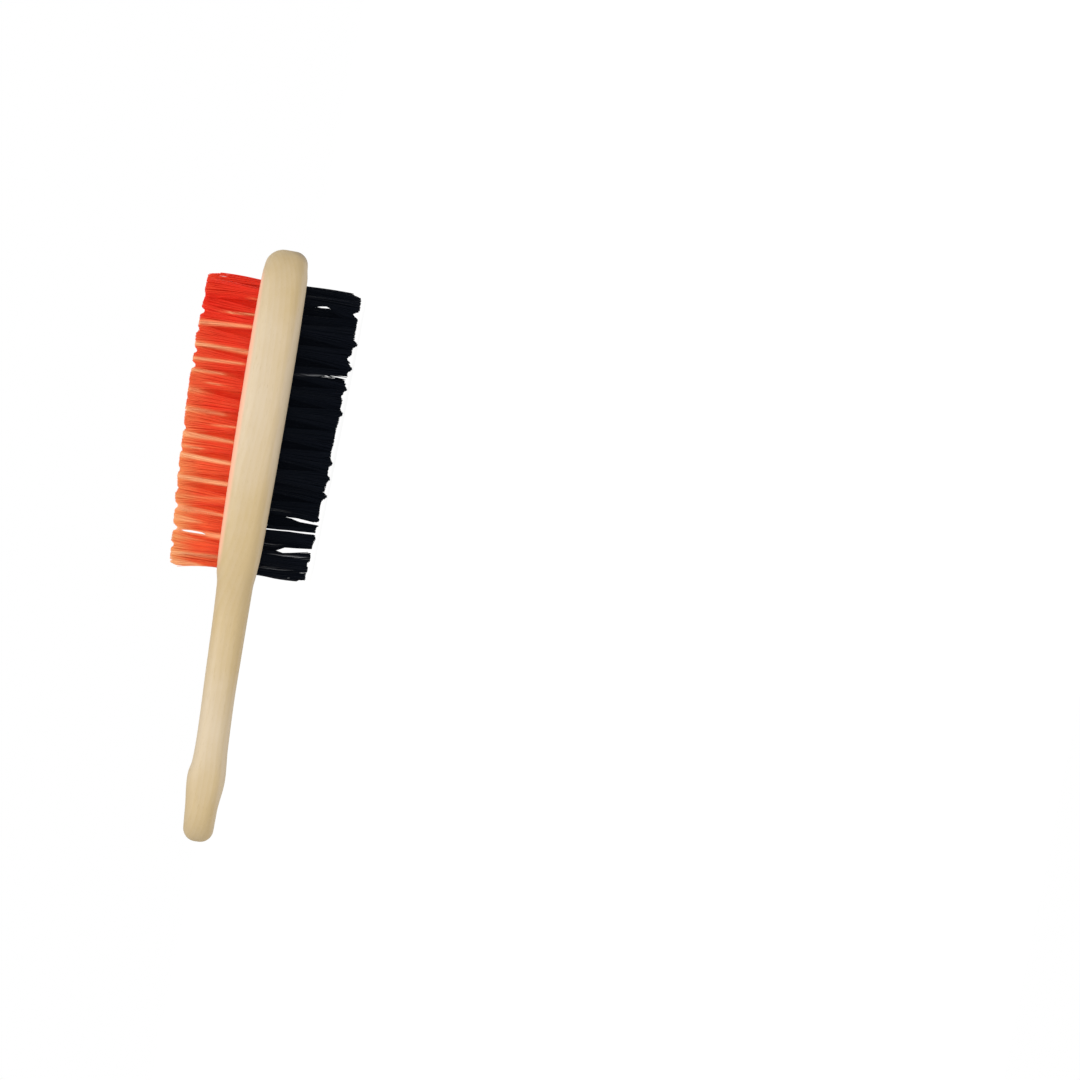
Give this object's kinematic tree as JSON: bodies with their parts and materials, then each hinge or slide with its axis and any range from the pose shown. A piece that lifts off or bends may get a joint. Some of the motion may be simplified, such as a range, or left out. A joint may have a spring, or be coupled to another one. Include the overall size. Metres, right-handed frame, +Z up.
{
  "type": "double-sided brush",
  "caption": "Wooden hand brush with a rounded handle and bristle tufts on both faces of an oval head, longer towards the toe.",
  "frame": {"origin": "on the plane of the lower bristle tips, under the middle of the overall box", "axes": "+X from the handle to the toe of the head, +Z up through the head from the black bristles to the orange ones, +Y across the width"},
  "size_m": [0.2448, 0.052, 0.0661],
  "materials": {
    "wood": "sanded pale wood, dry, with a slight sheen",
    "orange_bristle": "glossy translucent orange-red filament",
    "black_bristle": "satin blue-black filament"
  },
  "bodies": {
    "root": {"wood_body": "wood", "orange_tuft_row_1": "orange_bristle", "orange_tuft_row_2": "orange_bristle", "orange_tuft_row_3": "orange_bristle", "orange_tuft_row_4": "orange_bristle", "orange_tuft_row_5": "orange_bristle", "black_tuft_row_1": "black_bristle", "black_tuft_row_2": "black_bristle", "black_tuft_row_3": "black_bristle", "black_tuft_row_4": "black_bristle", "black_tuft_row_5": "black_bristle"}
  },
  "joints": []
}
